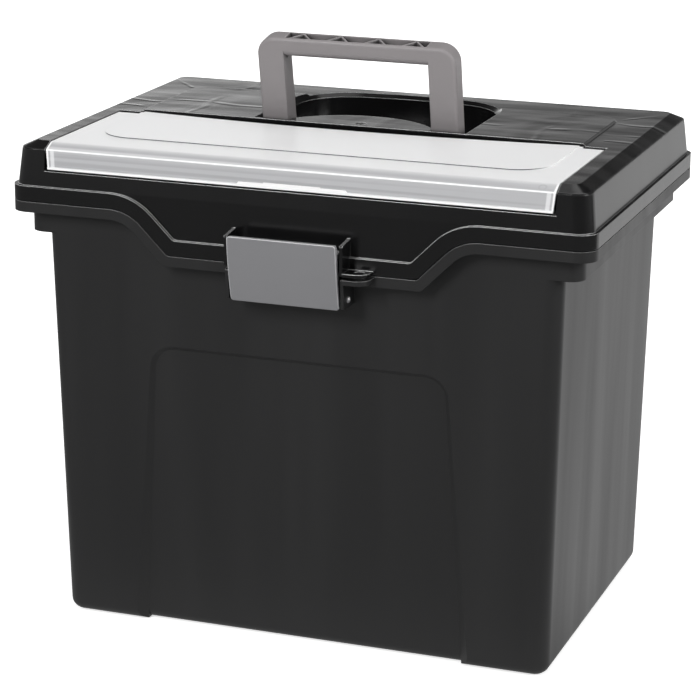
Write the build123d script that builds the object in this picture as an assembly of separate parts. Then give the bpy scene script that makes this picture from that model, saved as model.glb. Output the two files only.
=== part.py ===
from build123d import *
from math import atan2, cos, degrees, radians, sin, sqrt, tan
import os

os.makedirs("parts", exist_ok=True)

# Portable file box: a tapered tub, a hinged lid with an organizer compartment under a
# clear cover, a folding carrying handle and a front latch.  Millimetres.  X runs left to
# right, the front faces -Y, Z is up.  The origin is the centre of the tub's underside.

# ------------------------------------------------------------------ driving dimensions
# the rim, where lid and tub meet
rim_width = 350.0
rim_depth = 238.0
rim_corner = 11.0
seam_z = 256.7          # height of the seam between tub and lid
seam_gap = 0.6          # daylight left in the seam
wall = 2.5              # moulded wall of tub and lid

# the seam steps down in the middle of the front, behind the latch
dip_depth = 24.4
dip_foot_x = 75.0       # half width of the low part
dip_slope = 45.0        # degrees
dip_head_round = 28.0
dip_foot_round = 4.0

# tub
flange_height = 6.5     # down-turned rim of the tub
step_inset_x = 8.3      # rim to the wide upper part, at the sides
step_height = 19.7      # from the ledge's underside to the seam
step_corner = 9.0
body_inset_x = 19.5     # rim to the body just under the ledge, at the sides
body_inset_y = 9.0
body_draft = 1.15       # degrees that the body's sides lean in towards the bottom
body_corner = 9.0
bottom_round = 7.0
floor_wall = 3.0
rail_height = 7.0       # ribs that the hanging-file hooks slide on
rail_thick = 2.4
rail_length = 190.0

# sunk panel in the front of the tub
panel_top_z = 173.0
panel_top_half = 88.0
panel_bottom_half = 99.0
panel_corner = 12.0
panel_depth_top = 2.0
panel_depth_bottom = 4.5
panel_flare = 1.2       # how far the panel's edge spreads for each mm of depth

# lid
lip_height = 9.0        # band round the lid, just above the seam
lid_wall_inset = 2.1
lid_wall_corner = 10.0
lid_wall_height = 30.4  # seam to the top of the lid's wall
lid_draft = 2.2
lid_chamfer_width = 8.0
lid_chamfer_height = 3.7
lid_flat_corner = 5.0
lid_edge_round = 1.2
plateau_rise = 1.2      # raised middle of the lid's top
plateau_side_inset = 36.0
plateau_front_y = -8.0
plateau_back_inset = 44.0
plateau_corner = 12.0
plateau_edge = 1.0

# handle recess in the lid
recess_front_wall = 2.0 # between the plateau's front and the recess
recess_side_gap = 1.3   # beside the handle's legs
recess_back_inset = 22.0
recess_depth = 22.0
recess_shoulder = 34.0  # radius of its two back corners
recess_crown = 7.0      # how far its back bows out in the middle
recess_crown_round = 150.0
recess_rim = 3.5        # chamfer round its edge
tongue_side_gap = 0.8   # between the handle's legs and the raised tongue
tongue_length = 28.0
tongue_radius = 55.0
dimple_radius = 3.4     # moulding gate in the tongue
dimple_depth = 0.9
dimple_back = 4.5       # behind the recess's front

# organizer compartment and its cover
cover_side_inset = 23.0 # rim to the cover, at the sides
cover_gap = 0.8
cover_thick = 1.8
cover_sink = 0.2        # how far the cover lies under the lid's top
cover_seat_gap = 0.2    # clearance under the cover
cover_break_inset = 11.0  # rim to where the cover's top starts to slope to the front
cover_break_round = 9.0
cover_nose_inset = 4.4
cover_nose_drop = 3.2
cover_nose_round = 2.0
cover_face_height = 10.3
cover_face_draft = 0.8
cover_end_draft = 1.2   # how much its face narrows downwards at each end
cover_lip_out = 0.5
cover_lip_thick = 1.4
cover_foot_gap = 1.0    # under the lip
cover_end_gap = 7.0     # plateau to the back edge of the cover's two end strips
cover_back_gap = 2.5    # plateau to the back edge between them, at its ends
cover_bow = 9.0         # how far that edge bows forward in the middle
cover_end_length = 0.2  # the middle part is this much shorter than the plateau's half width
cover_panel_side = 15.5 # cover's side to its raised panel
cover_panel_front = 34.5
cover_panel_corner = 22.0
cover_panel_rise = 0.6
cover_rib = 3.0         # stiffening ribs inside the front corners
thumb_half = 32.0       # raised thumb lip on the cover's lower edge
thumb_rise = 1.5
thumb_middle_half = 17.0
thumb_middle_rise = 0.5
tray_side = 6.0         # cover's side to the compartment
tray_front_inset = 9.4
tray_back_gap = 14.2    # plateau to the compartment
tray_depth = 26.8
tray_wall = 2.2
tray_corner = 5.0
gutter_depth = 10.4     # channel behind the compartment that the cover's tail turns in
gutter_end_room = 4.8   # room behind the end strips
cover_pivot_gap = 6.5   # plateau to the cover's hinge axis
cover_pivot_drop = 4.2  # under the lid's flat top
cover_stub_radius = 1.25
cover_knuckle_radius = 2.4
cover_knuckle_length = 8.0
cover_bore_depth = 3.2

# carrying handle
handle_half = 61.9
handle_leg = 16.9       # width of a leg
handle_thick = 13.0
handle_top = 60.2       # pivot to the top of the grip
handle_grip = 12.0      # height of the grip
handle_corner = 11.0
handle_inner_corner = 3.0
handle_edge = 2.0
handle_under_round = 5.0  # finger side of the grip
handle_lean = 10.9      # degrees that the raised handle stands forward of upright
handle_pivot_back = 8.5 # behind the recess's front
handle_pivot_drop = 7.5 # under the plateau
handle_stub_radius = 3.0
handle_boss = 4.6       # thickness of the recess's wall round the stubs
grip_pocket_side = 18.0 # handle's side to the pocket in the grip
grip_pocket_depth = 7.5
grip_pocket_wall = 1.8
grip_rib_thick = 1.0
grip_rib_spacing = 23.5
grip_rib_spread = 7.2
grip_rib_sink = 1.0
grip_rib_count = 4

# latch, its ears and the padlock eyes: heights from the low part of the seam, the rest
# as distances in front of the rim
latch_half = 32.4
latch_gap = 1.1
latch_top_out = 14.2
latch_middle_out = 12.0
latch_bottom_out = 7.8
latch_top_rise = 18.5
latch_bottom_drop = 19.8
latch_thick = 2.6
latch_corner = 1.6
latch_rib = 2.0
latch_pin_out = 1.5
latch_pin_drop = 14.6
latch_barrel_radius = 3.4
hook_radius = 24.8      # underside of the hook, round the latch pin
hook_thick = 3.1
hook_reach = 1.1        # how far the hook's tip passes in front of the pin
catch_half = 24.0
catch_reach = 4.1       # how far the catch's tip passes in front of the pin
catch_height = 5.0
catch_gap = 0.4
ear_thick = 1.9
ear_out = 10.8
ear_top_rise = 18.0
ear_back_rise = 1.6     # the lid's ears are this much higher at the wall
ear_seam_room = 1.3     # from the seam down to the tub's ears
ear_bottom_drop = 19.3
ear_foot_out = 8.0      # the tub's ears at their bottom
ear_shoulder_out = 9.3  # and at their top
ear_corner = 1.5
lid_eye_thick = 1.9
tub_eye_thick = 2.9
lid_eye_gap = 0.5       # from the seam up to the lid's eye
eye_reach = 14.2        # how far the eyes reach past the ear
eye_round = 7.5         # their outer front corner
eye_bore = 3.0
eye_side = 8.0          # ear to the middle of the bore
eye_out = 5.4
pin_radius = 1.9
pin_head_room = 1.4     # how far the latch pin's domed ends stand out of the ears
pin_fit = 0.05          # running clearance round every pin and stub
pin_seat = 0.02         # clearance of a pin in the ears that hold it

# hinge between tub and lid
hinge_side_inset = 80.0
hinge_back = 5.3        # hinge axis behind the rim
knuckle_radius = 4.4
lid_knuckle_length = 22.0
tub_knuckle_length = 10.0
knuckle_gap = 0.4

# ------------------------------------------------------------------ worked-out places
rim_half = rim_width / 2
rim_front_y = -rim_depth / 2
rim_back_y = rim_depth / 2
dip_z = seam_z - dip_depth
step_z = seam_z - step_height
step_half = rim_half - step_inset_x
body_half = rim_half - body_inset_x
body_front_y = rim_front_y + body_inset_y
lid_wall_top_z = seam_z + lid_wall_height
lid_top_z = lid_wall_top_z + lid_chamfer_height
plateau_z = lid_top_z + plateau_rise
plateau_half = rim_half - plateau_side_inset
plateau_back_y = rim_back_y - plateau_back_inset
lip_top_z = seam_z + lip_height
handle_opening_half = handle_half - handle_leg
recess_half = handle_half + recess_side_gap
recess_front_y = plateau_front_y + recess_front_wall
recess_back_y = rim_back_y - recess_back_inset
recess_floor_z = plateau_z - recess_depth
tongue_half = handle_opening_half - tongue_side_gap
tongue_back_y = recess_front_y + tongue_length
handle_pivot_y = recess_front_y + handle_pivot_back
handle_pivot_z = plateau_z - handle_pivot_drop
cover_half = rim_half - cover_side_inset
cover_end_half = plateau_half - cover_end_length
cover_panel_half = cover_half - cover_panel_side
cover_break_y = rim_front_y + cover_break_inset
cover_nose_y = rim_front_y + cover_nose_inset
cover_end_y = plateau_front_y - cover_end_gap
cover_back_y = plateau_front_y - cover_back_gap
cover_pivot_y = plateau_front_y - cover_pivot_gap
cover_top_z = lid_top_z - cover_sink
cover_under_z = cover_top_z - cover_thick
cover_nose_z = cover_top_z - cover_nose_drop
cover_foot_z = cover_nose_z - cover_face_height
cover_pivot_z = lid_top_z - cover_pivot_drop
nose_under_y = cover_nose_y + cover_thick
nose_under_z = cover_nose_z - 0.8 * cover_thick
seat_half = cover_half + cover_gap
cover_low_z = cover_foot_z - cover_lip_thick
shelf_z = cover_low_z - cover_foot_gap
tray_half = cover_half - tray_side
tray_front_y = rim_front_y + tray_front_inset
tray_back_y = plateau_front_y - tray_back_gap
tray_floor_z = lid_top_z - tray_depth
tray_rim_z = cover_under_z - cover_seat_gap
gutter_half = cover_end_half + 3 * cover_seat_gap
gutter_floor_z = lid_top_z - gutter_depth
latch_top_z = dip_z + latch_top_rise
latch_bottom_z = dip_z - latch_bottom_drop
latch_top_y = rim_front_y - latch_top_out
latch_middle_y = rim_front_y - latch_middle_out
latch_bottom_y = rim_front_y - latch_bottom_out
latch_pin_y = rim_front_y - latch_pin_out
latch_pin_z = dip_z - latch_pin_drop
ear_inner = latch_half + latch_gap
ear_outer = ear_inner + ear_thick
eye_x = ear_outer + eye_side
eye_y = rim_front_y - eye_out
hinge_x = rim_half - hinge_side_inset
hinge_y = rim_back_y + hinge_back
far = 2 * (rim_width + rim_depth)      # past everything


def block(low, high):
    """Box between two opposite corners."""
    size = [b - a for a, b in zip(low, high)]
    centre = [(a + b) / 2 for a, b in zip(low, high)]
    return Pos(*centre) * Box(*size)


def slab(width, depth, corner, low_z, high_z):
    """Upright block with rounded corners, centred on the Z axis."""
    outline = Pos(0, 0, low_z) * RectangleRounded(width, depth, corner)
    return extrude(outline, amount=high_z - low_z)


def drafted(low, high, low_z, high_z):
    """Block that changes from one rounded rectangle (width, depth, corner) to another."""
    lower = Pos(0, 0, low_z) * RectangleRounded(*low)
    upper = Pos(0, 0, high_z) * RectangleRounded(*high)
    return loft([lower, upper], ruled=True)


def rod(x0, x1, y, z, radius):
    """Round bar along X."""
    return Pos((x0 + x1) / 2, y, z) * Rot(0, 90, 0) * Cylinder(radius, abs(x1 - x0))


def plan(points, radii, low_z, high_z):
    """Upright prism over a closed outline with rounded corners."""
    outline = make_face(FilletPolyline(*points, radius=radii, close=True))
    return extrude(Pos(0, 0, low_z) * outline, amount=high_z - low_z)


def side_view(points, radii, x0, x1):
    """Prism along X over a closed outline given as (y, z)."""
    outline = make_face(FilletPolyline(*points, radius=radii, close=True))
    return Pos(x0, 0, 0) * extrude(Plane.YZ * outline, amount=x1 - x0)


def front_view(points, radii, y0, y1):
    """Prism along Y over a closed outline given as (x, z)."""
    outline = make_face(FilletPolyline(*points, radius=radii, close=True))
    return Pos(0, y1, 0) * extrude(Plane.XZ * outline, amount=y1 - y0)


def mirrored(shape):
    """A shape and its twin on the other side of the box."""
    return [shape, mirror(shape, about=Plane.YZ)]


def under_seam(lift):
    """Everything below the seam, with its stepped front, moved up square to itself."""
    shift = lift * tan(radians(dip_slope) / 2)
    foot = dip_foot_x - shift
    head = foot + dip_depth / tan(radians(dip_slope))
    high = seam_z + lift
    low = dip_z + lift
    points = [(-far, -far), (far, -far), (far, high), (head, high), (foot, low),
              (-foot, low), (-head, high), (-far, high)]
    head_round = dip_head_round + lift
    radii = [0, 0, 0, head_round, dip_foot_round, dip_foot_round, head_round, 0]
    return front_view(points, radii, -far, 0) + block((-far, 0, -far), (far, far, high))


def ear(low_z, high_z, low_front_y, high_front_y, back_y, back_rise=0.0):
    """One of the plates that stand beside the latch, on the right."""
    points = [(back_y, low_z), (low_front_y, low_z), (high_front_y, high_z),
              (back_y, high_z + back_rise)]
    return side_view(points, [0, ear_corner, ear_corner, 0], ear_inner, ear_outer)


def padlock_eye(low_z, thick):
    """Flat eye for a padlock's shackle, between the right-hand ear and the rim."""
    left = ear_outer - ear_thick / 4
    right = ear_outer + eye_reach
    front = rim_front_y - ear_out
    back = rim_front_y + wall / 4
    plate = plan([(left, front), (right, front), (right, back), (left, back)],
                 [0, eye_round, 0, 0], low_z, low_z + thick)
    return plate - Pos(eye_x, eye_y, low_z) * Cylinder(eye_bore, 3 * thick)


# ------------------------------------------------------------------ tub
def make_tub():
    """Tapered body with a sunk front panel, file ledges, a turned-down rim and its ears."""
    lean_in = tan(radians(body_draft))
    bottom_half = body_half - step_z * lean_in
    bottom_front_y = body_front_y + step_z * lean_in

    def tapered(inset, low_z, high_z, foot_round):
        """The body's outer shape, or its inside, one wall in."""
        half_width = bottom_half - inset
        half_depth = -bottom_front_y - inset
        low = low_z * lean_in
        high = high_z * lean_in
        wide = [(-half_width - low, low_z), (half_width + low, low_z),
                (half_width + high, high_z), (-half_width - high, high_z)]
        deep = [(-half_depth - low, low_z), (half_depth + low, low_z),
                (half_depth + high, high_z), (-half_depth - high, high_z)]
        shape = front_view(wide, 0, -far, far) & side_view(deep, 0, -far, far)
        middle_z = (low_z + high_z) / 2
        upright = shape.edges().filter_by(lambda e: abs(e.center().Z - middle_z) < 1)
        shape = fillet(upright, body_corner - inset)
        return fillet(shape.faces().sort_by(Axis.Z)[0].edges(), foot_round)

    body = tapered(0, 0, step_z, bottom_round)
    inside = tapered(wall, floor_wall, step_z + wall + 1, bottom_round - wall)

    # the panel is a flared tray shape pressed into the front wall, with a rounded toe; the
    # same shape, one wall larger, is left out of the inside so that the wall stays as thick
    lean = atan2(panel_depth_bottom - panel_depth_top + panel_top_z * lean_in, panel_top_z)

    def panel(grow, low_z, toe_round):
        bottom_y = bottom_front_y + panel_depth_bottom + grow
        face_plane = Plane(origin=(0, bottom_y, 0), x_dir=(1, 0, 0),
                           z_dir=(0, -cos(lean), -sin(lean)))

        def outline(spread):
            drop = 2 * bottom_round
            slope = (panel_bottom_half - panel_top_half) / panel_top_z
            low_half = panel_bottom_half + slope * drop + spread
            high_half = panel_top_half + spread
            corner = panel_corner + spread
            points = [(-low_half, -drop), (low_half, -drop), (high_half, panel_top_z + spread),
                      (-high_half, panel_top_z + spread)]
            return make_face(FilletPolyline(*points, radius=[0, 0, corner, corner], close=True))

        base = grow * panel_flare
        reach = 4 * panel_depth_bottom
        sunk = loft([face_plane * outline(base),
                     face_plane * (Pos(0, 0, reach) * outline(base + reach * panel_flare))],
                    ruled=True)
        # the toe's round touches both the panel's leaning face and the level underside
        centre_y = bottom_y - low_z * tan(lean) + toe_round * tan((radians(90) - lean) / 2)
        centre_z = low_z + toe_round
        touch_z = centre_z - toe_round * sin(lean)
        toe = block((-far, bottom_y - toe_round, -far), (far, centre_y, touch_z))
        toe = toe - rod(-far, far, centre_y, centre_z, toe_round)
        width = extrude(face_plane * outline(base), amount=2 * toe_round, both=True)
        return sunk + (toe & width)

    step = slab(2 * step_half, -2 * body_front_y, step_corner, step_z, seam_z)
    skin = body + step
    skin = skin - panel(0, 0, bottom_round)
    flange = slab(rim_width, rim_depth, rim_corner, 0, seam_z)
    flange = flange & (under_seam(0) - under_seam(-flange_height))
    rim_groove = slab(rim_width - 2 * wall, rim_depth - 2 * wall, rim_corner - wall, 0, seam_z)
    rim_groove = rim_groove - slab(2 * step_half, -2 * body_front_y, step_corner, 0, seam_z)
    rim_groove = rim_groove & (under_seam(-wall) - under_seam(-2 * flange_height))
    upper_inside = slab(2 * (step_half - wall), -2 * (body_front_y + wall), step_corner - wall,
                        step_z + wall, seam_z + 1)

    tub = skin + flange - rim_groove
    tub = tub - (inside - panel(wall, floor_wall, bottom_round - wall)) - upper_inside
    tub = tub & under_seam(-seam_gap / 2)

    # ribs on the side ledges for the hooks of hanging files
    rail_x = body_half - wall + 0.8
    for rail in mirrored(block((rail_x, -rail_length / 2, step_z + wall - 0.5),
                               (rail_x + rail_thick, rail_length / 2, step_z + wall + rail_height))):
        tub = tub + rail

    # ears that hold the latch pin, with the lower padlock eye on the right
    ear_high = dip_z - ear_seam_room
    plate = ear(dip_z - ear_bottom_drop, ear_high, rim_front_y - ear_foot_out,
                rim_front_y - ear_shoulder_out, body_front_y + wall / 2)
    for piece in mirrored(plate):
        tub = tub + piece
    tub = tub + padlock_eye(ear_high - tub_eye_thick, tub_eye_thick)
    tub = tub - rod(-2 * ear_outer, 2 * ear_outer, latch_pin_y, latch_pin_z, pin_radius + pin_seat)

    # hinge knuckles at the back, two for each hinge
    inner = lid_knuckle_length / 2 + knuckle_gap
    for side in (-1, 1):
        for end in (-1, 1):
            near = side * hinge_x + end * inner
            away = near + end * tub_knuckle_length
            tub = tub + knuckle(near, away, -flange_height + seam_gap / 2, -seam_gap / 2 - 0.2)
        tub = tub - rod(side * hinge_x - 2 * inner, side * hinge_x + 2 * inner, hinge_y, seam_z,
                        pin_radius + pin_seat)
    return tub


def knuckle(x0, x1, low, high):
    """Hinge knuckle with its arm, from the rim's back face; low and high are the arm's edges."""
    barrel = rod(x0, x1, hinge_y, seam_z, knuckle_radius)
    arm = block((min(x0, x1), rim_back_y - 1, seam_z + low),
                (max(x0, x1), hinge_y, seam_z + high))
    return barrel + arm


# ------------------------------------------------------------------ lid
def recess_outline(grow, low_z, high_z, grow_top=None):
    """D-shaped well for the handle, grown outwards; grow_top gives it sloping sides."""
    def outline(spread):
        half = recess_half + spread
        front = recess_front_y - spread
        back = recess_back_y + spread
        shoulder = back - recess_crown
        points = [(-half, front), (half, front), (half, shoulder), (0, back), (-half, shoulder)]
        corner = recess_shoulder + spread
        radii = [3.0, 3.0, corner, recess_crown_round, corner]
        return make_face(FilletPolyline(*points, radius=radii, close=True))

    if grow_top is None:
        return extrude(Pos(0, 0, low_z) * outline(grow), amount=high_z - low_z)
    return loft([Pos(0, 0, low_z) * outline(grow), Pos(0, 0, high_z) * outline(grow_top)],
                ruled=True)


def tongue(inset, front_y, low_z, high_z):
    """Tongue between the handle's legs, with its round back."""
    disc = Pos(0, tongue_back_y - tongue_radius, (low_z + high_z) / 2)
    disc = disc * Cylinder(tongue_radius - inset, high_z - low_z)
    half = tongue_half - inset
    return disc & block((-half, front_y, low_z), (half, tongue_back_y, high_z))


def make_lid():
    """Lid with its lip, compartment, handle recess, latch ears, catch, eye and knuckles."""
    low_z = dip_z - lip_height
    wall_width = rim_width - 2 * lid_wall_inset
    wall_depth = rim_depth - 2 * lid_wall_inset
    wall_corner = lid_wall_corner
    top_width = wall_width - 2 * lid_draft
    top_depth = wall_depth - 2 * lid_draft
    flat_width = top_width - 2 * lid_chamfer_width
    flat_depth = top_depth - 2 * lid_chamfer_width
    slope = atan2(lid_chamfer_height, lid_chamfer_width)

    shell = drafted((wall_width, wall_depth, wall_corner), (top_width, top_depth, wall_corner),
                    lip_top_z, lid_wall_top_z)
    shell = shell + drafted((top_width, top_depth, wall_corner),
                            (flat_width, flat_depth, lid_flat_corner),
                            lid_wall_top_z, lid_top_z)
    shell = fillet(shell.edges().filter_by(lambda e: abs(e.center().Z - lid_wall_top_z) < 0.1),
                   lid_edge_round)
    shell = shell + slab(wall_width, wall_depth, wall_corner, low_z, lip_top_z)
    lip = slab(rim_width, rim_depth, rim_corner, low_z, lip_top_z + 1) & under_seam(lip_height)

    def plateau_face(inset, z):
        half = plateau_half - inset
        back = plateau_back_y - inset
        points = [(-half, plateau_front_y), (half, plateau_front_y), (half, back), (-half, back)]
        radii = [0, 0, plateau_corner, plateau_corner]
        return Pos(0, 0, z) * make_face(FilletPolyline(*points, radius=radii, close=True))

    plateau = loft([plateau_face(0, lid_top_z - 0.2), plateau_face(plateau_edge, plateau_z)],
                   ruled=True)
    solid = shell + lip + plateau

    # the space under the lid, one wall inside its outer shape
    inner_width = wall_width - 2 * wall
    inner_depth = wall_depth - 2 * wall
    inner_corner = wall_corner - wall
    corner_z = lid_wall_top_z - wall * tan(radians(90) / 2 - slope / 2)
    flat_inset = 2 * wall * tan(slope / 2)
    hollow = slab(inner_width, inner_depth, inner_corner, low_z - 1, lip_top_z)
    hollow = hollow + drafted((inner_width, inner_depth, inner_corner),
                              (top_width - 2 * wall, top_depth - 2 * wall, inner_corner),
                              lip_top_z, corner_z)
    hollow = hollow + drafted((top_width - 2 * wall, top_depth - 2 * wall, inner_corner),
                              (flat_width - flat_inset, flat_depth - flat_inset,
                               lid_flat_corner - 1),
                              corner_z, lid_top_z - wall)
    lip_hollow = slab(rim_width - 2 * wall, rim_depth - 2 * wall, rim_corner - wall,
                      low_z - 1, lip_top_z)
    hollow = hollow + (lip_hollow & under_seam(lip_height - wall))

    # walls of the compartment, the cover's seat, the cover's gutter and the handle's well
    seat_outer = seat_half + tray_wall
    front_face_y = tray_front_y - tray_wall
    inner_walls = block((-tray_half - tray_wall, front_face_y, tray_floor_z - tray_wall),
                        (tray_half + tray_wall, tray_back_y + tray_wall, plateau_z))
    inner_walls = inner_walls + block((-seat_outer, front_face_y, tray_rim_z - wall),
                                      (seat_outer, cover_end_y + 3, plateau_z))
    inner_walls = inner_walls + block((-seat_outer, rim_front_y, shelf_z - tray_wall),
                                      (seat_outer, tray_front_y, plateau_z))
    bore_end = seat_half + cover_bore_depth
    inner_walls = inner_walls + block((-bore_end - 1, tray_back_y, gutter_floor_z - tray_wall),
                                      (bore_end + 1, recess_front_y, plateau_z))
    inner_walls = inner_walls + recess_outline(wall, recess_floor_z - wall, plateau_z)
    boss = handle_stub_radius + 3
    for pad in mirrored(block((recess_half, handle_pivot_y - boss, handle_pivot_z - boss),
                              (recess_half + handle_boss, handle_pivot_y + boss, plateau_z))):
        inner_walls = inner_walls + pad
    inner_walls = inner_walls & (shell + plateau)

    lid = solid - hollow + inner_walls
    lid = lid - tongue(tray_wall, recess_front_y + tray_wall, recess_floor_z - 2 * wall,
                       plateau_z - wall)

    # what is taken out from above
    tray = plan([(-tray_half, tray_front_y), (tray_half, tray_front_y),
                 (tray_half, tray_back_y), (-tray_half, tray_back_y)], tray_corner,
                tray_floor_z, plateau_z + 1)
    above = plateau_z + 1
    seat_back_y = cover_end_y + 0.3
    seat = side_view([(nose_under_y, nose_under_z - cover_seat_gap), (cover_break_y, tray_rim_z),
                      (seat_back_y, tray_rim_z), (seat_back_y, above), (nose_under_y, above)],
                     [0, cover_break_round - cover_thick, 0, 0, 0], -seat_half, seat_half)
    seat = seat + block((-seat_half, rim_front_y - 1, shelf_z), (seat_half, front_face_y, above))
    gutter_front_y = tray_back_y + tray_wall
    gutter = block((-gutter_half, gutter_front_y, gutter_floor_z),
                   (gutter_half, plateau_front_y, above))
    gutter = gutter + block((-seat_half, gutter_front_y, gutter_floor_z),
                            (seat_half, cover_end_y + gutter_end_room, above))
    well = recess_outline(0, recess_floor_z, plateau_z + 1)
    flare = recess_outline(0, plateau_z - recess_rim, plateau_z + 1, recess_rim + 1)
    well = well + (flare & block((-far, recess_front_y, 0), (far, far, far)))
    well = well - tongue(0, recess_front_y - 1, 0, far)
    lid = lid - tray - seat - gutter - well
    dimple = Pos(0, recess_front_y + dimple_back, plateau_z)
    lid = lid - dimple * Cylinder(dimple_radius, 2 * dimple_depth)
    for bore in mirrored(rod(recess_half - 1, recess_half + handle_boss + 1, handle_pivot_y,
                             handle_pivot_z, handle_stub_radius + pin_fit)):
        lid = lid - bore
    for bore in mirrored(rod(seat_half - 1, bore_end, cover_pivot_y, cover_pivot_z,
                             cover_stub_radius + pin_fit)):
        lid = lid - bore

    lid = lid - under_seam(seam_gap / 2)

    # ears beside the latch, the padlock eye and the catch that the latch hooks over
    ear_low = dip_z + seam_gap / 2
    back_y = rim_front_y + lid_wall_inset + 1
    ear_front_y = rim_front_y - ear_out
    plate = ear(ear_low, dip_z + ear_top_rise, ear_front_y, ear_front_y, back_y, ear_back_rise)
    for piece in mirrored(plate):
        lid = lid + piece
    lid = lid + padlock_eye(dip_z + lid_eye_gap, lid_eye_thick)
    catch = block((-catch_half, latch_pin_y - catch_reach, latch_pin_z + hook_radius - catch_gap
                   - catch_height),
                  (catch_half, back_y, latch_pin_z + hook_radius))
    catch = catch & rod(-catch_half, catch_half, latch_pin_y, latch_pin_z, hook_radius - catch_gap)
    lid = lid + catch

    for side in (-1, 1):
        x0 = side * hinge_x - lid_knuckle_length / 2
        x1 = side * hinge_x + lid_knuckle_length / 2
        lid = lid + knuckle(x0, x1, seam_gap / 2 + 0.2, lip_height - 2)
        lid = lid - rod(x0 - 1, x1 + 1, hinge_y, seam_z, pin_radius + pin_fit)
    return lid


# ------------------------------------------------------------------ organizer cover
def make_cover():
    """Clear cover: a flat top that slopes to a turned-down front with a thumb lip."""
    face_y = cover_nose_y - cover_face_draft
    lip_y = face_y - cover_lip_out
    back = plateau_front_y
    points = [(back, cover_top_z), (cover_break_y, cover_top_z), (cover_nose_y, cover_nose_z),
              (face_y, cover_foot_z), (lip_y, cover_foot_z),
              (lip_y, cover_low_z), (face_y + cover_thick, cover_low_z),
              (nose_under_y, nose_under_z), (cover_break_y, cover_under_z), (back, cover_under_z)]
    edge = cover_lip_thick / 3
    radii = [0, cover_break_round, cover_nose_round, edge, edge, edge, edge, cover_nose_round / 2,
             cover_break_round - cover_thick, 0]
    cover = side_view(points, radii, -cover_half, cover_half)

    panel_half = cover_panel_half
    front = rim_front_y + cover_panel_front
    corner = cover_panel_corner
    cover = cover + plan([(-panel_half, front), (panel_half, front), (panel_half, back),
                          (-panel_half, back)], [corner, corner, 0, 0],
                         cover_top_z - cover_thick / 4, cover_top_z + cover_panel_rise)

    # plan of the cover, with the bowed back edge and the two shorter end strips
    far_front = 2 * rim_front_y
    outline = Polyline((-cover_end_half, cover_back_y), (-cover_end_half, cover_end_y),
                       (-cover_half, cover_end_y), (-cover_half, far_front),
                       (cover_half, far_front), (cover_half, cover_end_y),
                       (cover_end_half, cover_end_y), (cover_end_half, cover_back_y))
    bow = ThreePointArc((cover_end_half, cover_back_y), (0, cover_back_y - cover_bow),
                        (-cover_end_half, cover_back_y))
    shape = extrude(make_face(outline + bow), amount=far)
    cover = cover & shape

    # the face's ends lean in
    low_half = cover_half - cover_end_draft
    ends = [(-low_half, cover_low_z), (low_half, cover_low_z), (cover_half, cover_nose_z),
            (cover_half, far), (-cover_half, far), (-cover_half, cover_nose_z)]
    cover = cover & front_view(ends, 0.0, -far, far)

    # thumb lip in the middle of the lower edge
    base_z = cover_foot_z - cover_lip_thick / 4
    high = cover_foot_z + thumb_rise
    mid = high + thumb_middle_rise
    inner = thumb_middle_half
    foot = thumb_half + thumb_rise
    points = [(-foot, base_z), (foot, base_z), (thumb_half, high),
              (inner, high), (inner, mid), (-inner, mid), (-inner, high), (-thumb_half, high)]
    cover = cover + front_view(points, 0.0, lip_y, face_y + cover_thick / 4)

    # hinge knuckles under the back edge, with stubs that turn in the lid
    knuckle_out = cover_half - 0.5
    barrel = rod(knuckle_out - cover_knuckle_length, knuckle_out, cover_pivot_y, cover_pivot_z,
                 cover_knuckle_radius)
    stub = rod(knuckle_out - 1, seat_half + cover_bore_depth - 0.6, cover_pivot_y, cover_pivot_z,
               cover_stub_radius)
    for part in mirrored(barrel + stub):
        cover = cover + part

    # short stiffening ribs inside the front corners
    rib_x = cover_half - cover_rib - cover_thick
    for rib in mirrored(block((rib_x, nose_under_y - cover_thick / 2, cover_foot_z),
                              (rib_x + cover_rib, nose_under_y + cover_thick / 4,
                               nose_under_z - cover_seat_gap))):
        cover = cover + rib
    return cover


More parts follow.
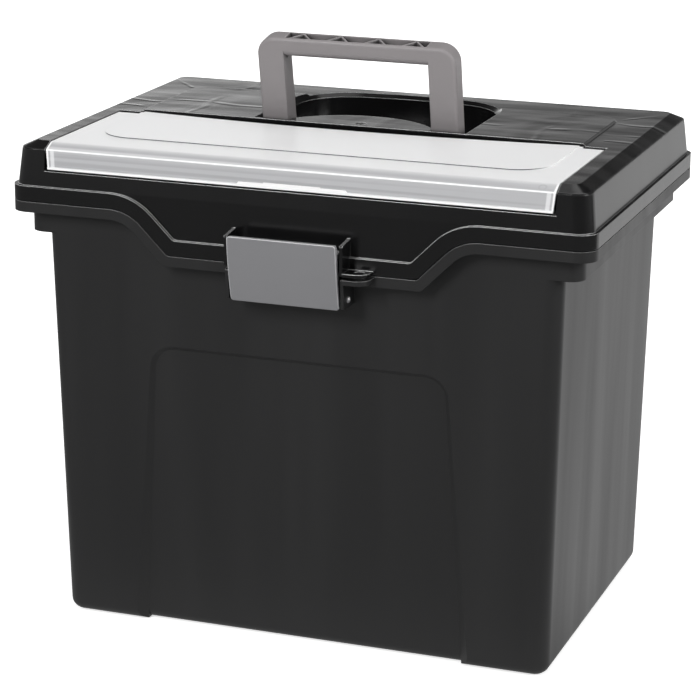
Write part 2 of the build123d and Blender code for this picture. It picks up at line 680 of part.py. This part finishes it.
# ------------------------------------------------------------------ carrying handle
def make_handle():
    """Bail handle with a ribbed pocket in its grip; drawn upright, then leaned forward."""
    side = handle_thick / 2
    foot_z = -handle_thick
    under_z = handle_top - handle_grip
    outer = [(-handle_half, foot_z), (handle_half, foot_z),
             (handle_half, handle_top), (-handle_half, handle_top)]
    body = front_view(outer, [0, 0, handle_corner, handle_corner], -side, side)
    body = fillet(body.edges().filter_by(lambda e: abs(abs(e.center().Y) - side) < 0.01
                                         and e.center().Z > foot_z + 1), handle_edge)
    opening = front_view([(-handle_opening_half, foot_z - 1), (handle_opening_half, foot_z - 1),
                          (handle_opening_half, under_z), (-handle_opening_half, under_z)],
                         [0, 0, handle_inner_corner, handle_inner_corner],
                         -handle_thick, handle_thick)
    below = block((-far, -far, foot_z - 1), (far, far, 0)) - rod(-far, far, 0, 0, side)
    body = body - opening - below

    # the grip is rounded where the fingers go under it
    for face in (-1, 1):
        centre_y = face * (side - handle_under_round)
        centre_z = under_z + handle_under_round
        corner = block((-handle_opening_half, min(centre_y, face * side),
                        under_z - handle_inner_corner),
                       (handle_opening_half, max(centre_y, face * side), centre_z))
        body = body - (corner - rod(-far, far, centre_y, centre_z, handle_under_round))

    # pocket in the top of the grip, stiffened by pairs of slanting ribs
    pocket_floor = handle_top - grip_pocket_depth
    pocket_y = handle_thick / 2 - grip_pocket_wall
    pocket_half = handle_half - grip_pocket_side
    pocket = block((-pocket_half, -pocket_y, pocket_floor),
                   (pocket_half, pocket_y, handle_top + 1))
    middle = (grip_rib_count - 1) / 2
    rib_length = sqrt((2 * pocket_y) ** 2 + grip_rib_spread ** 2) + grip_rib_thick
    rib_turn = degrees(atan2(2 * pocket_y, grip_rib_spread))
    for i in range(grip_rib_count):
        apex = (i - middle) * grip_rib_spacing
        for turn, shift in ((rib_turn, -1), (-rib_turn, 1)):
            centre = Pos(apex + shift * grip_rib_spread / 2, 0, handle_top - grip_pocket_depth / 2)
            rib = centre * Rot(0, 0, turn) * Box(rib_length, grip_rib_thick,
                                                 grip_pocket_depth - grip_rib_sink)
            pocket = pocket - rib
    body = body - pocket

    for stub in mirrored(rod(handle_half - 1, recess_half + handle_boss - 0.6, 0, 0,
                             handle_stub_radius)):
        body = body + stub
    return Pos(0, handle_pivot_y, handle_pivot_z) * Rot(handle_lean, 0, 0) * body


# ------------------------------------------------------------------ latch
def make_latch():
    """Curved latch plate with rounded corners, its barrel and web, side ribs and hook."""
    middle_z = (latch_top_z + latch_bottom_z) / 2
    top_y = latch_top_y + latch_thick
    bottom_y = latch_bottom_y + latch_thick
    outer = ThreePointArc((latch_top_y, latch_top_z), (latch_middle_y, middle_z),
                          (latch_bottom_y, latch_bottom_z))
    inner = ThreePointArc((bottom_y, latch_bottom_z), (latch_middle_y + latch_thick, middle_z),
                          (top_y, latch_top_z))
    section = outer + Line(outer @ 1, inner @ 0) + inner + Line(inner @ 1, outer @ 0)
    plate = Pos(-latch_half, 0, 0) * extrude(Plane.YZ * make_face(section), amount=2 * latch_half)
    corners = plate.edges().filter_by(Axis.Y).filter_by(lambda e: e.length < 2 * latch_thick)
    plate = fillet(corners, latch_corner)

    # everything behind the plate stops short of its sides
    half = latch_half - latch_corner / 2
    top_of_barrel = latch_pin_z + latch_barrel_radius
    web = [(bottom_y - 1, latch_bottom_z + latch_corner),
           (latch_pin_y, latch_pin_z - latch_barrel_radius),
           (latch_pin_y, top_of_barrel - 1), (bottom_y - 2, top_of_barrel)]
    latch = plate + side_view(web, 0.0, -half, half)
    latch = latch + rod(-half, half, latch_pin_y, latch_pin_z, latch_barrel_radius)
    hook = rod(-half, half, latch_pin_y, latch_pin_z, hook_radius + hook_thick)
    hook = hook - rod(-far, far, latch_pin_y, latch_pin_z, hook_radius)
    hook = hook & block((-half, top_y - 1, latch_pin_z + hook_radius / 2),
                        (half, latch_pin_y - hook_reach, far))
    latch = latch + hook
    rib = [(bottom_y - 1.5, top_of_barrel - 2), (latch_pin_y - 1, top_of_barrel - 2),
           (latch_pin_y - 2 * latch_barrel_radius, latch_pin_z + hook_radius + 1),
           (top_y - 1, latch_pin_z + hook_radius + 1)]
    for x0 in (-half, half - latch_rib):
        latch = latch + side_view(rib, 0.0, x0, x0 + latch_rib)
    return latch - rod(-far, far, latch_pin_y, latch_pin_z, pin_radius + pin_fit)


# ------------------------------------------------------------------ pins
def make_hinge_pin(side):
    """Steel pin through one hinge's three knuckles."""
    half = lid_knuckle_length / 2 + knuckle_gap + tub_knuckle_length
    return rod(side * hinge_x - half, side * hinge_x + half, hinge_y, seam_z, pin_radius)


def make_latch_pin():
    """Steel pin through the tub's ears, with domed ends."""
    half = ear_outer + pin_head_room
    pin = rod(-half, half, latch_pin_y, latch_pin_z, pin_radius)
    ends = pin.edges().filter_by(lambda e: abs(e.center().X) > half - 0.01)
    return fillet(ends, 0.7 * pin_radius)


pieces = {
    "base_tub": make_tub(),
    "lid_shell": make_lid(),
    "organizer_cover": make_cover(),
    "carrying_handle": make_handle(),
    "latch": make_latch(),
    "latch_pin": make_latch_pin(),
    "hinge_pin_left": make_hinge_pin(-1),
    "hinge_pin_right": make_hinge_pin(1),
}

for name, shape in pieces.items():
    shape.label = name
    export_step(shape, f"parts/{name}.step")
    print(name, len(shape.solids()), "solid(s)", round(shape.volume / 1000, 2), "cm3")
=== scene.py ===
from math import cos, radians, sin

import bpy
from mathutils import Matrix, Vector


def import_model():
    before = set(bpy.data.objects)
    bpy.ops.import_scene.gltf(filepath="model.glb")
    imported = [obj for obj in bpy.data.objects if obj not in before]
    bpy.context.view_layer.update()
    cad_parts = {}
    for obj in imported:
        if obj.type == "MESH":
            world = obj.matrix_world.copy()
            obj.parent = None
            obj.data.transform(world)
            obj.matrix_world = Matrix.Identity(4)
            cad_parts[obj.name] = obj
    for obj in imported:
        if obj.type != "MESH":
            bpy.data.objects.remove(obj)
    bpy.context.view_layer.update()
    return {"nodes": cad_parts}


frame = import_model()
nodes = frame["nodes"]


# ---------------------------------------------------------------- tub
# The file tub: one injection moulding in black polypropylene, with a satin skin from the
# etched mould. Its tall walls carry faint upright flow marks, and its edges are slightly
# rounded where the mould was polished. Its upper edges are lightened with a painted highlight.

def add(tree, kind, values=None, **settings):
    """One shader node. Values go to its sockets: numbers and colours are set, sockets linked."""
    made = tree.nodes.new(kind)
    for name, value in settings.items():
        setattr(made, name, value)
    for name, value in (values or {}).items():
        socket = made.inputs[name]
        if isinstance(value, bpy.types.NodeSocket):
            tree.links.new(value, socket)
        else:
            socket.default_value = value
    return made


def new_group(name, inputs):
    """An empty node group, and the numbers that it is given, which have a start value."""
    tree = bpy.data.node_groups.new(name, "ShaderNodeTree")
    for socket, start in inputs.items():
        made = tree.interface.new_socket(socket, in_out="INPUT", socket_type="NodeSocketFloat")
        made.default_value = start
    return tree, tree.nodes.new("NodeGroupInput").outputs


def put_out(tree, results):
    """Outputs of a node group, linked to the sockets that hold the results."""
    for name, socket in results.items():
        kind = "NodeSocketVector" if socket.type == "VECTOR" else "NodeSocketFloat"
        tree.interface.new_socket(name, in_out="OUTPUT", socket_type=kind)
    end = tree.nodes.new("NodeGroupOutput")
    for name, socket in results.items():
        tree.links.new(socket, end.inputs[name])


def calculate(tree, operation, *numbers, clamp=False):
    """Result socket of a Math node."""
    made = add(tree, "ShaderNodeMath", dict(enumerate(numbers)), operation=operation)
    made.use_clamp = clamp
    return made.outputs[0]


def both(tree, one, other):
    """Product of two masks or shares."""
    return calculate(tree, "MULTIPLY", one, other)


def ranged(tree, value, span, first=0.0, last=1.0, kind="LINEAR"):
    """Socket that goes from first to last while a value crosses a span, and stops there."""
    values = {"Value": value, "From Min": span[0], "From Max": span[1], "To Min": first,
              "To Max": last}
    return add(tree, "ShaderNodeMapRange", values, interpolation_type=kind).outputs[0]


def place_on(tree, kind="Object"):
    """Socket with the place on the piece, or with another kind of coordinates."""
    return add(tree, "ShaderNodeTexCoord").outputs[kind]


def split(tree, vector):
    """The X, Y and Z sockets of a vector."""
    return add(tree, "ShaderNodeSeparateXYZ", {0: vector}).outputs


def noise(tree, scale, detail, squeeze=None, warp=0.0):
    """Noise over the piece, squeezed by a different amount along each axis if asked."""
    place = place_on(tree)
    if squeeze:
        place = add(tree, "ShaderNodeMapping", {"Vector": place, "Scale": squeeze}).outputs[0]
    return add(tree, "ShaderNodeTexNoise", {"Vector": place, "Scale": scale, "Detail": detail,
                                            "Distortion": warp}).outputs[0]


def mixed(tree, factor, first, second):
    """Colour socket that goes from the first colour to the second with a factor."""
    made = add(tree, "ShaderNodeMix", {"Factor": factor}, data_type="RGBA")
    for name, colour in (("A", first), ("B", second)):
        if isinstance(colour, tuple):
            made.inputs[name].default_value = (*colour, 1.0)
        else:
            tree.links.new(colour, made.inputs[name])
    return made.outputs["Result"]


def bump(tree, height, depth, normal):
    """Bump node of full strength, on top of another normal."""
    return add(tree, "ShaderNodeBump", {"Height": height, "Strength": 1.0, "Distance": depth,
                                        "Normal": normal})


def build_skin():
    """Etched mould skin: fine grain, a slow unevenness and a patchy shine, both drawn upright."""
    tree, given = new_group("moulded_skin", {"Grain": 1400.0, "Flow": 9.0})
    flow_drawn = (1.0, 1.0, 0.035)
    shine_drawn = (1.0, 1.0, 0.06)
    patches = 34.0
    put_out(tree, {"Grain": noise(tree, given["Grain"], 2.0),
                   "Wave": noise(tree, given["Flow"], 3.0, flow_drawn),
                   "Shine": noise(tree, patches, 3.0, shine_drawn)})
    return tree


def build_edge():
    """Polished mould edges: a rounded normal, and a mask for a painted highlight on upward edges,
    weighted to the front.
    """
    tree, given = new_group("soft_edge_highlight", {"Radius": 0.0007, "Lowest": 0.1, "Sides": 1.0})
    highlight_gain = 7.0              # how soon an edge gets the painted highlight while its normal turns
    upward_span = 0.4       # rise of the normal between no painted highlight and full painted highlight
    frontmost = -0.4        # the normal's Y from which an edge counts as one in front
    rounded = add(tree, "ShaderNodeBevel", {"Radius": given["Radius"]}, samples=6).outputs[0]
    flat = add(tree, "ShaderNodeNewGeometry").outputs["Normal"]
    together = add(tree, "ShaderNodeVectorMath", {0: rounded, 1: flat}, operation="DOT_PRODUCT")
    turned = calculate(tree, "SUBTRACT", 1.0, together.outputs["Value"])
    highlit = calculate(tree, "MULTIPLY", turned, highlight_gain, clamp=True)
    on_piece = add(tree, "ShaderNodeVectorTransform", {0: rounded}, vector_type="NORMAL",
                   convert_from="WORLD", convert_to="OBJECT")
    facing = split(tree, on_piece.outputs[0])
    highest = calculate(tree, "ADD", given["Lowest"], upward_span)
    upward = ranged(tree, facing["Z"], (given["Lowest"], highest))
    frontward = ranged(tree, facing["Y"], (0.0, frontmost), given["Sides"], 1.0)
    put_out(tree, {"Normal": rounded, "Mask": both(tree, highlit, both(tree, upward, frontward))})
    return tree


skin_group = build_skin()
edge_group = build_edge()


def moulded_plastic(name, dark, light, edge_highlight, roughness, spread, grain, edge_radius, gloss=0.5,
                    grain_height=0.00002, wave_height=0.0004, flow=9.0, lowest=0.1, sides=1.0):
    """Moulded plastic: colour between dark and light, with a painted highlight on its upper
    edges.

    Its roughness varies by the spread. Grain and waves have their heights in metres. Edges
    get the painted highlight where their normal rises above the lowest, and by the share sides
    off the front.
    """
    made = bpy.data.materials.new(name)
    made.use_nodes = True
    tree = made.node_tree
    shader = tree.nodes["Principled BSDF"]
    skin = add(tree, "ShaderNodeGroup", {"Grain": grain, "Flow": flow}, node_tree=skin_group)
    edge = add(tree, "ShaderNodeGroup", {"Radius": edge_radius, "Lowest": lowest,
                                         "Sides": sides}, node_tree=edge_group)
    shine = skin.outputs["Shine"]
    # painted highlight: the edge mask lightens the colour towards the highlight colour on upper
    # edges
    colour = mixed(tree, edge.outputs["Mask"], mixed(tree, shine, dark, light), edge_highlight)
    rough = ranged(tree, shine, (0.3, 0.7), roughness - spread, roughness + spread)
    slow = bump(tree, skin.outputs["Wave"], wave_height, edge.outputs["Normal"])
    slow.name = "flow_marks"
    fine = bump(tree, skin.outputs["Grain"], grain_height, slow.outputs[0])
    shader.inputs["Specular IOR Level"].default_value = gloss
    tree.links.new(colour, shader.inputs["Base Color"])
    tree.links.new(rough, shader.inputs["Roughness"])
    tree.links.new(fine.outputs[0], shader.inputs["Normal"])
    return made


tub_plastic = moulded_plastic(
    "tub_satin_black", dark=(0.0120, 0.0120, 0.0123), light=(0.0165, 0.0165, 0.0168),
    edge_highlight=(0.22, 0.22, 0.22), roughness=0.40, spread=0.06, grain=1500.0, edge_radius=0.0006,
    wave_height=0.0002, flow=15.0)
nodes["base_tub"].material_slots[0].material = tub_plastic


# ---------------------------------------------------------------- lid
# The lid: black polypropylene from a polished mould, glossier than the tub. Its flat top has
# sunk a little along the ribs hidden under it and lies unevenly between them, which shows
# in the reflections. Its underside is left rougher.

def softly(tree, value, span, first=0.0, last=1.0):
    """Socket that goes from first to last while a value crosses a span, with soft ends."""
    return ranged(tree, value, span, first, last, "SMOOTHSTEP")


def source(socket):
    """The socket that feeds another one."""
    return socket.links[0].from_socket


def build_sink_marks():
    """Shallow marks over the ribs under the lid's top, broken up along their length."""
    tree, given = new_group("sink_marks", {"Width": 0.0035})
    drift_width = 0.012         # by which the marks wander, from side to side
    start_length = 0.004        # in which a mark begins beside the well
    dent_share = 5.5            # heights, beside a mark's depth of 1
    band_share = 3.0
    bands_drawn = (9.0, 46.0, 9.0)
    place = split(tree, place_on(tree))
    sideways = calculate(tree, "ABSOLUTE", place["X"])
    slanted = calculate(tree, "SUBTRACT", place["Y"], sideways)
    wobble = calculate(tree, "SUBTRACT", noise(tree, 30.0, 1.0), 0.5)
    drift = calculate(tree, "MULTIPLY", wobble, drift_width)
    # each rib: the distance that it follows, its place there, and how far out it begins
    ribs = [(place["Y"], 0.0085, 0.144), (place["Y"], 0.0265, 0.0), (place["Y"], 0.059, 0.139),
            (slanted, -0.068, 0.139), (sideways, 0.108, 0.0)]
    marks = 0.0
    for along, centre, inner in ribs:
        off = calculate(tree, "ADD", calculate(tree, "SUBTRACT", along, centre), drift)
        far_off = calculate(tree, "DIVIDE", calculate(tree, "ABSOLUTE", off), given["Width"])
        mark = softly(tree, far_off, (0.0, 1.0), 1.0, 0.0)
        if inner:
            mark = both(tree, mark, softly(tree, sideways, (inner, inner + start_length)))
        marks = calculate(tree, "MAXIMUM", marks, mark)
    broken = both(tree, marks, softly(tree, noise(tree, 24.0, 2.0), (0.42, 0.62)))
    dents = calculate(tree, "MULTIPLY", noise(tree, 15.0, 1.5, warp=0.8), dent_share)
    bands = calculate(tree, "MULTIPLY", noise(tree, 1.0, 1.5, bands_drawn), band_share)
    uneven = calculate(tree, "ADD", dents, bands)
    put_out(tree, {"Height": calculate(tree, "ADD", uneven, broken)})
    return tree


# Its upper edges, most of all those in front, are lightened with a strong painted highlight.
lid_plastic = moulded_plastic(
    "lid_gloss_black", dark=(0.0030, 0.0030, 0.0031), light=(0.0048, 0.0048, 0.0050),
    edge_highlight=(0.70, 0.70, 0.70), roughness=0.19, spread=0.03, gloss=0.55, grain=1100.0,
    edge_radius=0.0006, grain_height=0.000002, wave_height=0.00012, sides=0.1)
lid_tree = lid_plastic.node_tree
lid_shader = lid_tree.nodes["Principled BSDF"]
lid_marks = add(lid_tree, "ShaderNodeGroup", node_tree=build_sink_marks())
lid_facing = split(lid_tree, place_on(lid_tree, "Normal"))["Z"]
upper_side = softly(lid_tree, lid_facing, (0.3, 0.5))
level_share = softly(lid_tree, lid_facing, (0.85, 0.97), 0.4, 1.0)
sunk = both(lid_tree, lid_marks.outputs["Height"], both(lid_tree, upper_side, level_share))
sink_depth = 0.00016
lid_slow = lid_tree.nodes["flow_marks"]
dented = bump(lid_tree, sunk, sink_depth, source(lid_slow.inputs["Normal"]))
lid_tree.links.new(dented.outputs[0], lid_slow.inputs["Normal"])
underside_rough = 0.28
underside = softly(lid_tree, lid_facing, (-0.6, -0.2), underside_rough, 0.0)
lid_rough = calculate(lid_tree, "ADD", underside, source(lid_shader.inputs["Roughness"]))
lid_tree.links.new(lid_rough, lid_shader.inputs["Roughness"])
nodes["lid_shell"].material_slots[0].material = lid_plastic


# ---------------------------------------------------------------- organizer cover
# The flip cover: a thin moulding in natural, milky polypropylene. It is nearly white from
# above. Painted shade greys its slope, and its front where the dark lid lies close behind it.
# A painted highlight whitens the fold, the lips and the ends. It was filled through a gate at one
# corner.

cover_top = 0.2906                      # metres, in the box's own frame
cover_end = 0.152
end_lean = 0.08                         # by which the ends lean in on their way down
slope_ahead_of = (-0.1125, -0.1055)     # each span: where a tone ends, softly
face_below = (0.2862, 0.2872)
fold_from, fold_to = (0.2866, 0.2870), (0.2872, 0.2877)
lip_below = (0.2769, 0.2777)
thumb_within = (0.0330, 0.0340)
thumb_ahead_of = (-0.1157, -0.1155)
rim_within = (0.0006, 0.0014)
rib_from, rib_to = (0.0018, 0.0026), (0.0042, 0.0050)
panel_above = (0.2900, 0.2904)
gate_place = (0.1437, -0.1118, 0.2893)
gate_radius = 0.0021
gate_line = (0.0002, 0.0007)

cover_plastic = moulded_plastic(
    "cover_milky", dark=(0.95, 0.95, 0.953), light=(0.975, 0.975, 0.978),
    edge_highlight=(0.97, 0.97, 0.973), roughness=0.33, spread=0.03, grain=900.0, edge_radius=0.0004,
    grain_height=0.000003, wave_height=0.00002)
cover_tree = cover_plastic.node_tree
cover_shader = cover_tree.nodes["Principled BSDF"]
cover_shader.inputs["Transmission Weight"].default_value = 0.2
cover_place = place_on(cover_tree)
on_cover = split(cover_tree, cover_place)
cover_facing = split(cover_tree, place_on(cover_tree, "Normal"))
cover_sideways = calculate(cover_tree, "ABSOLUTE", on_cover["X"])
below_top = calculate(cover_tree, "SUBTRACT", cover_top, on_cover["Z"])
leant_in = calculate(cover_tree, "MULTIPLY", below_top, end_lean)
from_end = calculate(cover_tree, "SUBTRACT", cover_end,
                     calculate(cover_tree, "ADD", cover_sideways, leant_in))


def before(value, span, most=1.0):
    """Mask of the cover where a value lies under a span."""
    return softly(cover_tree, value, span, most, 0.0)


def after(value, span, most=1.0):
    """Mask of the cover where a value lies over a span."""
    return softly(cover_tree, value, span, 0.0, most)


def either(one, other):
    """Mask of the cover that is high where one of two masks is."""
    return calculate(cover_tree, "MAXIMUM", one, other)


face = before(on_cover["Z"], face_below)
slope = before(on_cover["Y"], slope_ahead_of)
fold = both(cover_tree, after(on_cover["Z"], fold_from, 0.9), before(on_cover["Z"], fold_to))
streaks = noise(cover_tree, 1.0, 1.0, (2.0, 2.0, 380.0))
streaky = both(cover_tree, either(face, slope), after(streaks, (0.42, 0.6), 0.75))
lip = before(on_cover["Z"], lip_below)
thumb = both(cover_tree, before(cover_sideways, thumb_within),
             both(cover_tree, face, before(on_cover["Y"], thumb_ahead_of)))
rim = before(from_end, rim_within)
rib_side = both(cover_tree, after(from_end, rib_from), before(from_end, rib_to))
rib_seen = both(cover_tree, both(cover_tree, rib_side, face), 0.6)
panel_step_shade = both(cover_tree, before(cover_facing["Y"], (-0.8, -0.2)),
                  after(on_cover["Z"], panel_above))
from_gate = add(cover_tree, "ShaderNodeVectorMath", {0: cover_place, 1: gate_place},
                operation="DISTANCE").outputs["Value"]
off_ring = calculate(cover_tree, "ABSOLUTE",
                     calculate(cover_tree, "SUBTRACT", from_gate, gate_radius))
gate_ring = before(off_ring, gate_line, 0.6)
# Painted shade: the slope, the front face, which also has darker streaks, and the riser of the
# panel's front step. Painted highlight: the fold, the lip, the thumb lip and the ends. The rib
# shows lighter, and the gate leaves a darker ring.
cover_tones = [(slope, (0.64, 0.64, 0.65)), (face, (0.50, 0.502, 0.514)),
               (streaky, (0.385, 0.387, 0.40)), (rib_seen, (0.95, 0.95, 0.96)),
               (gate_ring, (0.42, 0.42, 0.43)), (panel_step_shade, (0.12, 0.12, 0.125)),
               (either(either(fold, lip), either(thumb, rim)), (1.0, 1.0, 1.0))]
tone = source(cover_shader.inputs["Base Color"])
for mask, colour in cover_tones:
    tone = mixed(cover_tree, mask, tone, colour)
cover_tree.links.new(tone, cover_shader.inputs["Base Color"])
nodes["organizer_cover"].material_slots[0].material = cover_plastic


# ---------------------------------------------------------------- handle
# The carrying handle: warm grey polypropylene with a satin skin, hollowed from above, with
# thin zigzag ribs in the pocket. It turns on two stubs in the lid's well.

# Its upper edges carry a painted highlight.
handle_plastic = moulded_plastic(
    "handle_warm_grey", dark=(0.213, 0.199, 0.202), light=(0.235, 0.219, 0.222),
    edge_highlight=(0.40, 0.378, 0.382), roughness=0.48, spread=0.06, grain=1300.0, edge_radius=0.0014)
# Painted shade: the pocket is darkened where an ambient occlusion node finds it enclosed.
pocket_width = 0.009
pocket_shade = (0.06, 0.056, 0.057)
handle_tree = handle_plastic.node_tree
handle_colour = handle_tree.nodes["Principled BSDF"].inputs["Base Color"]
open_share = add(handle_tree, "ShaderNodeAmbientOcclusion", {"Distance": pocket_width},
                 samples=8).outputs["AO"]
in_pocket = softly(handle_tree, open_share, (0.3, 0.72), 0.92, 0.0)
handle_tree.links.new(mixed(handle_tree, in_pocket, source(handle_colour), pocket_shade),
                      handle_colour)
nodes["carrying_handle"].material_slots[0].material = handle_plastic


# ---------------------------------------------------------------- latch
# The latch plate: the same polypropylene as the handle, in a cooler grey. It hangs on a
# steel pin between the tub's ears, and its hook springs over the lid's catch.

# Its edges, even those that face a little downwards, are lightened with a bright painted
# highlight.
latch_plastic = moulded_plastic(
    "latch_cool_grey", dark=(0.164, 0.164, 0.171), light=(0.181, 0.181, 0.188),
    edge_highlight=(0.85, 0.85, 0.86), roughness=0.42, spread=0.05, grain=1300.0, edge_radius=0.0010,
    lowest=-0.35)
nodes["latch"].material_slots[0].material = latch_plastic


# ---------------------------------------------------------------- steel pins
# The latch pin and the two hinge pins: drawn steel wire, cut to length, with fine marks
# from the drawing along their length.

steel = bpy.data.materials.new("drawn_steel")
steel.use_nodes = True
steel_tree = steel.node_tree
steel_shader = steel_tree.nodes["Principled BSDF"]
steel_shader.inputs["Metallic"].default_value = 1.0
pin_edge_radius = 0.0011
drawing_depth = 0.00001
drawing_marks = noise(steel_tree, 1.0, 2.0, (40.0, 900.0, 900.0))
steel_rough = ranged(steel_tree, drawing_marks, (0.3, 0.7), 0.38, 0.50)
steel_tone = mixed(steel_tree, drawing_marks, (0.74, 0.74, 0.75), (0.90, 0.90, 0.91))
steel_edge = add(steel_tree, "ShaderNodeGroup", {"Radius": pin_edge_radius},
                 node_tree=edge_group)
steel_bump = bump(steel_tree, drawing_marks, drawing_depth, steel_edge.outputs["Normal"])
steel_tree.links.new(steel_tone, steel_shader.inputs["Base Color"])
steel_tree.links.new(steel_rough, steel_shader.inputs["Roughness"])
steel_tree.links.new(steel_bump.outputs[0], steel_shader.inputs["Normal"])
for pin in ("latch_pin", "hinge_pin_left", "hinge_pin_right"):
    nodes[pin].material_slots[0].material = steel


# ---------------------------------------------------------------- floor and light
# A pale studio floor and a plain white surround, with soft lamps in front on the left, on
# the right and overhead. The floor looks nearly white and keeps a faint shadow. Reflections
# see a darker floor in front and beside the box, and a surround that dims upwards.

floor_size = 12.0
floor_drop = 0.0003         # under the box, so that the two share no plane
bpy.ops.mesh.primitive_plane_add(size=floor_size, location=(0, 0, -floor_drop))
floor = bpy.context.object
floor.name = "floor"
floor_look = bpy.data.materials.new("pale_floor")
floor_look.use_nodes = True
floor_tree = floor_look.node_tree
floor_shader = floor_tree.nodes["Principled BSDF"]
floor_shader.inputs["Base Color"].default_value = (0.85, 0.85, 0.85, 1.0)
floor_shader.inputs["Roughness"].default_value = 0.9
floor_shader.inputs["Specular IOR Level"].default_value = 0.0
floor_shader.inputs["Emission Color"].default_value = (1.0, 1.0, 1.0, 1.0)
floor_place = place_on(floor_tree)
from_box = add(floor_tree, "ShaderNodeVectorMath", {0: floor_place},
               operation="LENGTH").outputs["Value"]
far_white = softly(floor_tree, from_box, (0.5, 1.8), 0.60, 1.0)
floor_ray = add(floor_tree, "ShaderNodeLightPath").outputs
seen = calculate(floor_tree, "MAXIMUM", floor_ray["Is Camera Ray"],
                 floor_ray["Is Transmission Ray"])
floor_tree.links.new(both(floor_tree, seen, far_white), floor_shader.inputs["Emission Strength"])

floor_dark, floor_bright = 0.2, 0.8
on_floor = split(floor_tree, floor_place)
floor_back = softly(floor_tree, on_floor["Y"], (-0.25, 0.1), floor_dark, floor_bright)
behind_sides = calculate(floor_tree, "SUBTRACT", on_floor["Y"],
                         calculate(floor_tree, "ABSOLUTE", on_floor["X"]))
floor_side = softly(floor_tree, behind_sides, (-0.55, -0.2), floor_dark, floor_bright)
floor_gloss = add(floor_tree, "ShaderNodeEmission", {
    "Strength": calculate(floor_tree, "MINIMUM", floor_back, floor_side)})
floor_mix = add(floor_tree, "ShaderNodeMixShader", {0: floor_ray["Is Glossy Ray"],
                                                    1: floor_shader.outputs[0],
                                                    2: floor_gloss.outputs[0]})
floor_tree.links.new(floor_mix.outputs[0],
                     floor_tree.nodes["Material Output"].inputs["Surface"])
floor.data.materials.append(floor_look)

world = bpy.data.worlds.new("studio")
bpy.context.scene.world = world
world.use_nodes = True
sky = world.node_tree
background = sky.nodes["Background"]
background.inputs["Color"].default_value = (1.0, 1.0, 1.0, 1.0)
fill_light = 0.45
sky_ray = add(sky, "ShaderNodeLightPath").outputs
direction = split(sky, place_on(sky, "Generated"))
behind = softly(sky, direction["Y"], (-0.2, 0.5), 0.25, 1.0)
lower = softly(sky, direction["Z"], (0.05, 0.34), 1.1, 0.08)
leftward = softly(sky, direction["X"], (-0.42, -0.22), 1.3, 0.55)
in_gloss = both(sky, sky_ray["Is Glossy Ray"], both(sky, both(sky, behind, lower), leftward))
in_view = calculate(sky, "MAXIMUM", sky_ray["Is Camera Ray"], sky_ray["Is Transmission Ray"])
not_gloss = calculate(sky, "SUBTRACT", 1.0, sky_ray["Is Glossy Ray"])
in_diffuse = both(sky, not_gloss, fill_light)
strength = calculate(sky, "MAXIMUM", calculate(sky, "MAXIMUM", in_view, in_gloss), in_diffuse)
sky.links.new(strength, background.inputs["Strength"])


def soft_lamp(name, place, towards, wide, high, watts):
    """Rectangular studio lamp that faces a point."""
    data = bpy.data.lights.new(name, "AREA")
    data.shape = "RECTANGLE"
    data.size = wide
    data.size_y = high
    data.energy = watts
    lamp = bpy.data.objects.new(name, data)
    bpy.context.scene.collection.objects.link(lamp)
    lamp.location = place
    lamp.rotation_mode = "QUATERNION"
    lamp.rotation_quaternion = (Vector(towards) - Vector(place)).to_track_quat("-Z", "Y")


soft_lamp("front_lamp", (-0.75, -2.05, 1.5), (0.0, 0.0, 0.15), wide=0.6, high=1.0, watts=37.0)
soft_lamp("right_lamp", (2.0, -0.3, 1.1), (0.0, 0.0, 0.2), wide=0.8, high=0.8, watts=24.0)
soft_lamp("top_lamp", (0.2, 0.3, 2.0), (0.0, 0.0, 0.2), wide=1.4, high=1.4, watts=7.5)


# ---------------------------------------------------------------- camera
# A long lens a little above the box and to its right, as in a catalogue picture. It stands
# about 1.6 metres away and aims at the middle of the box.

azimuth = radians(20.04)
elevation = radians(16.48)
roll = radians(0.26)
aim = Vector((-0.00713, 0.0, 0.15064))
distance = 1.60875
sensor_width = 36.0         # millimetres, as is the lens
lens = 135.45
back = Vector((sin(azimuth) * cos(elevation), -cos(azimuth) * cos(elevation), sin(elevation)))
side = (-back).cross(Vector((0, 0, 1))).normalized()
upright = side.cross(-back)
across = side * cos(roll) + upright * sin(roll)
along = upright * cos(roll) - side * sin(roll)
camera_place = aim + back * distance
camera_data = bpy.data.cameras.new("camera")
camera_data.sensor_width = sensor_width
camera_data.lens = lens
camera_data.clip_end = 20.0
camera = bpy.data.objects.new("camera", camera_data)
bpy.context.scene.collection.objects.link(camera)
camera.matrix_world = Matrix(((across.x, along.x, back.x, camera_place.x),
                              (across.y, along.y, back.y, camera_place.y),
                              (across.z, along.z, back.z, camera_place.z),
                              (0, 0, 0, 1)))
bpy.context.scene.camera = camera
bpy.context.scene.view_settings.view_transform = "Standard"
